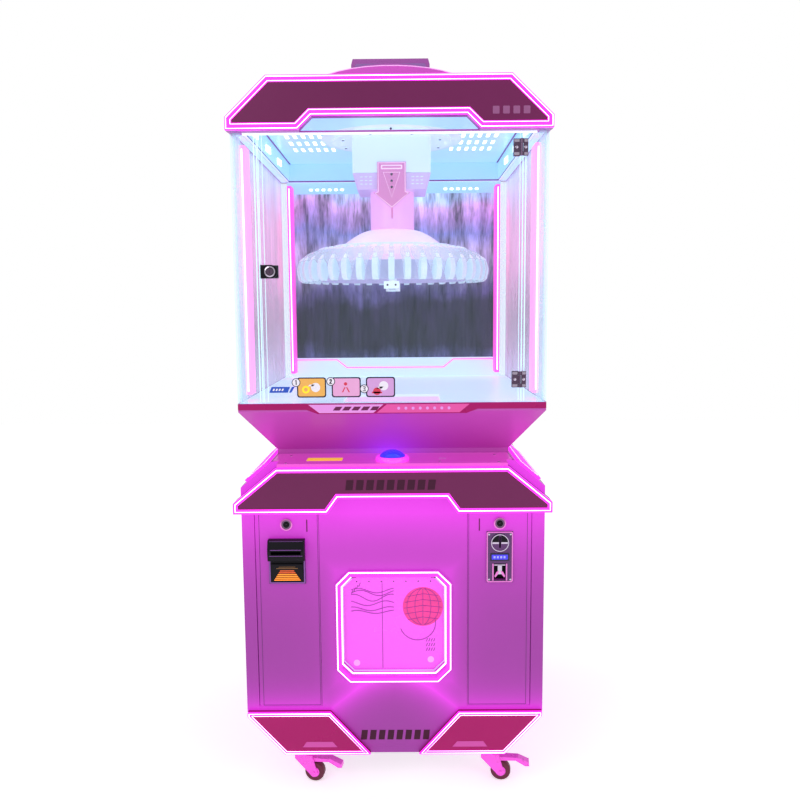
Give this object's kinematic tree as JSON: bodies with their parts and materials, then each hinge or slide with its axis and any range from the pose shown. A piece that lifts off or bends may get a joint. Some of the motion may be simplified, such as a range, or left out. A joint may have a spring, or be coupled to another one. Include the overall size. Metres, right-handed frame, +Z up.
{
  "type": "prize vending arcade machine",
  "caption": "Upright arcade prize machine: glass showcase with a rotating ring of prize clips over a light-edged sheet-metal cabinet on casters.",
  "frame": {"origin": "on the floor, under the centre of the machine's overall box", "axes": "+Z up, -Y towards the player (front), +X to the player's right"},
  "size_m": [0.748, 0.8, 1.82],
  "materials": {
    "pink_paint": "satin powder coat",
    "crimson_paint": "satin powder coat",
    "crimson_panel": "gloss",
    "plum_panel": "gloss",
    "pink_light": "diffuse light strip",
    "clear_glass": "polished",
    "pale_plastic": "gloss",
    "lit_white": "satin, lit",
    "sign_plastic": "gloss",
    "head_plastic": "satin",
    "badge_plastic": "satin",
    "dome_plastic": "frosted",
    "clip_clear": "polished",
    "button_pink": "gloss",
    "button_blue": "gloss, lit",
    "flap_acrylic": "frosted acrylic",
    "black_plastic": "fine texture",
    "chrome": "polished",
    "brushed_steel": "brushed",
    "inner_steel": "satin",
    "motor_aluminium": "cast",
    "board_green": "solder mask",
    "caster_metal": "zinc plate",
    "caster_tyre": "satin"
  },
  "bodies": {
    "cabinet": {"base_frame": "inner_steel", "cabinet_shell": "pink_paint", "front_panel": "pink_paint", "back_panel": "pink_paint", "service_panel": "pink_paint", "console_top": "pink_paint", "neck_shell": "crimson_paint", "case_floor": "lit_white", "prize_chute": "inner_steel", "prize_frame": "pink_paint", "light_boxes": "pink_paint", "fascia_panels": "plum_panel", "trim_panels": "crimson_panel", "light_strips": "pink_light", "case_glass": "clear_glass", "corner_posts": "pale_plastic", "ceiling_panel": "lit_white", "roof_shell": "pink_paint", "top_sign": "sign_plastic", "head_housing": "head_plastic", "pillar": "head_plastic", "core_tube": "brushed_steel", "carousel_motor": "motor_aluminium", "pusher_arm": "head_plastic", "button_base": "button_pink", "hinge_pins": "chrome", "power_supply": "brushed_steel", "control_board": "board_green", "coin_box": "inner_steel", "power_inlet": "black_plastic", "caster_plates": "caster_metal"},
    "carousel": {"carousel_hub": "motor_aluminium", "carousel_dome": "dome_plastic", "clip_carrier": "pale_plastic", "prize_clips": "clip_clear"},
    "front_clip": {"front_clip": "clip_clear"},
    "pusher_pin": {"pusher_pin": "chrome"},
    "start_button": {"start_button": "button_blue"},
    "glass_door": {"glass_door": "clear_glass", "door_clamps": "chrome", "door_lock": "black_plastic"},
    "glass_lock_plug": {"glass_lock_plug": "chrome"},
    "left_door": {"left_door": "pink_paint", "bill_acceptor": "black_plastic"},
    "left_lock": {"left_lock": "chrome"},
    "right_door": {"right_door": "pink_paint", "coin_acceptor": "chrome"},
    "right_lock": {"right_lock": "chrome"},
    "coin_return": {"coin_return": "black_plastic"},
    "prize_flap": {"prize_flap": "flap_acrylic"},
    "caster_fork_front_left": {"caster_fork_front_left": "caster_metal"},
    "caster_wheel_front_left": {"caster_wheel_front_left": "caster_tyre"},
    "brake_pedal_front_left": {"brake_pedal_front_left": "caster_metal"},
    "caster_fork_front_right": {"caster_fork_front_right": "caster_metal"},
    "caster_wheel_front_right": {"caster_wheel_front_right": "caster_tyre"},
    "brake_pedal_front_right": {"brake_pedal_front_right": "caster_metal"},
    "caster_fork_rear_left": {"caster_fork_rear_left": "caster_metal"},
    "caster_wheel_rear_left": {"caster_wheel_rear_left": "caster_tyre"},
    "caster_fork_rear_right": {"caster_fork_rear_right": "caster_metal"},
    "caster_wheel_rear_right": {"caster_wheel_rear_right": "caster_tyre"}
  },
  "joints": [
    {"name": "carousel_spin", "type": "hinge", "parent": "cabinet", "child": "carousel", "pos_m": [0, 0.025, 1.33], "axis": [0, 0, 1], "continuous": true},
    {"name": "clip_open", "type": "hinge", "parent": "carousel", "child": "front_clip", "pos_m": [0, -0.15, 1.34], "axis": [-1, 0, 0], "range_deg": [0, 14]},
    {"name": "pusher_push", "type": "slide", "parent": "cabinet", "child": "pusher_pin", "axis": [0, 0, 1], "range_m": [0, 0.008], "stiffness_N_per_m": 150, "springref_m": -0.004},
    {"name": "button_press", "type": "slide", "parent": "cabinet", "child": "start_button", "axis": [0, 0, -1], "range_m": [0, 0.004], "stiffness_N_per_m": 600, "springref_m": -0.004},
    {"name": "glass_door_swing", "type": "hinge", "parent": "cabinet", "child": "glass_door", "pos_m": [0.301, -0.354, 1.28], "axis": [0, 0, 1], "range_deg": [0, 105]},
    {"name": "glass_lock_turn", "type": "hinge", "parent": "glass_door", "child": "glass_lock_plug", "pos_m": [-0.28, -0.35, 1.276], "axis": [0, 1, 0], "range_deg": [0, 90]},
    {"name": "left_door_swing", "type": "hinge", "parent": "cabinet", "child": "left_door", "pos_m": [-0.331, -0.347, 0.46], "axis": [0, 0, -1], "range_deg": [0, 100]},
    {"name": "left_lock_turn", "type": "hinge", "parent": "left_door", "child": "left_lock", "pos_m": [-0.257, -0.35, 0.674], "axis": [0, 1, 0], "range_deg": [0, 90]},
    {"name": "right_door_swing", "type": "hinge", "parent": "cabinet", "child": "right_door", "pos_m": [0.331, -0.347, 0.46], "axis": [0, 0, 1], "range_deg": [0, 100]},
    {"name": "right_lock_turn", "type": "hinge", "parent": "right_door", "child": "right_lock", "pos_m": [0.257, -0.35, 0.674], "axis": [0, 1, 0], "range_deg": [0, 90]},
    {"name": "coin_return_press", "type": "hinge", "parent": "right_door", "child": "coin_return", "pos_m": [0.257, -0.352, 0.571], "axis": [-1, 0, 0], "range_deg": [0, 20], "stiffness_Nm_per_rad": 0.05, "springref_deg": -17.19},
    {"name": "prize_flap_swing", "type": "hinge", "parent": "cabinet", "child": "prize_flap", "pos_m": [0, -0.344, 0.538], "axis": [1, 0, 0], "range_deg": [0, 70]},
    {"name": "swivel_front_left", "type": "hinge", "parent": "cabinet", "child": "caster_fork_front_left", "pos_m": [-0.235, -0.312, 0.08], "axis": [0, 0, 1], "continuous": true},
    {"name": "roll_front_left", "type": "hinge", "parent": "caster_fork_front_left", "child": "caster_wheel_front_left", "pos_m": [-0.20349, -0.31756, 0.025], "axis": [0.1736, 0.9848, 0], "continuous": true},
    {"name": "brake_front_left", "type": "hinge", "parent": "caster_fork_front_left", "child": "brake_pedal_front_left", "pos_m": [-0.21333, -0.31582, 0.057], "axis": [0.1736, 0.9848, 0], "range_deg": [0, 8], "stiffness_Nm_per_rad": 0.4, "springref_deg": -14.32},
    {"name": "swivel_front_right", "type": "hinge", "parent": "cabinet", "child": "caster_fork_front_right", "pos_m": [0.235, -0.312, 0.08], "axis": [0, 0, 1], "continuous": true},
    {"name": "roll_front_right", "type": "hinge", "parent": "caster_fork_front_right", "child": "caster_wheel_front_right", "pos_m": [0.26669, -0.31645, 0.025], "axis": [0.1392, 0.9903, 0], "continuous": true},
    {"name": "brake_front_right", "type": "hinge", "parent": "caster_fork_front_right", "child": "brake_pedal_front_right", "pos_m": [0.25679, -0.31506, 0.057], "axis": [0.1392, 0.9903, 0], "range_deg": [0, 8], "stiffness_Nm_per_rad": 0.4, "springref_deg": -14.32},
    {"name": "swivel_rear_left", "type": "hinge", "parent": "cabinet", "child": "caster_fork_rear_left", "pos_m": [-0.235, 0.345, 0.08], "axis": [0, 0, 1], "continuous": true},
    {"name": "roll_rear_left", "type": "hinge", "parent": "caster_fork_rear_left", "child": "caster_wheel_rear_left", "pos_m": [-0.20493, 0.33405, 0.025], "axis": [0.342, 0.9397, 0], "continuous": true},
    {"name": "swivel_rear_right", "type": "hinge", "parent": "cabinet", "child": "caster_fork_rear_right", "pos_m": [0.235, 0.345, 0.08], "axis": [0, 0, 1], "continuous": true},
    {"name": "roll_rear_right", "type": "hinge", "parent": "caster_fork_rear_right", "child": "caster_wheel_rear_right", "pos_m": [0.26692, 0.34277, 0.025], "axis": [0.0698, 0.9976, 0], "continuous": true}
  ]
}
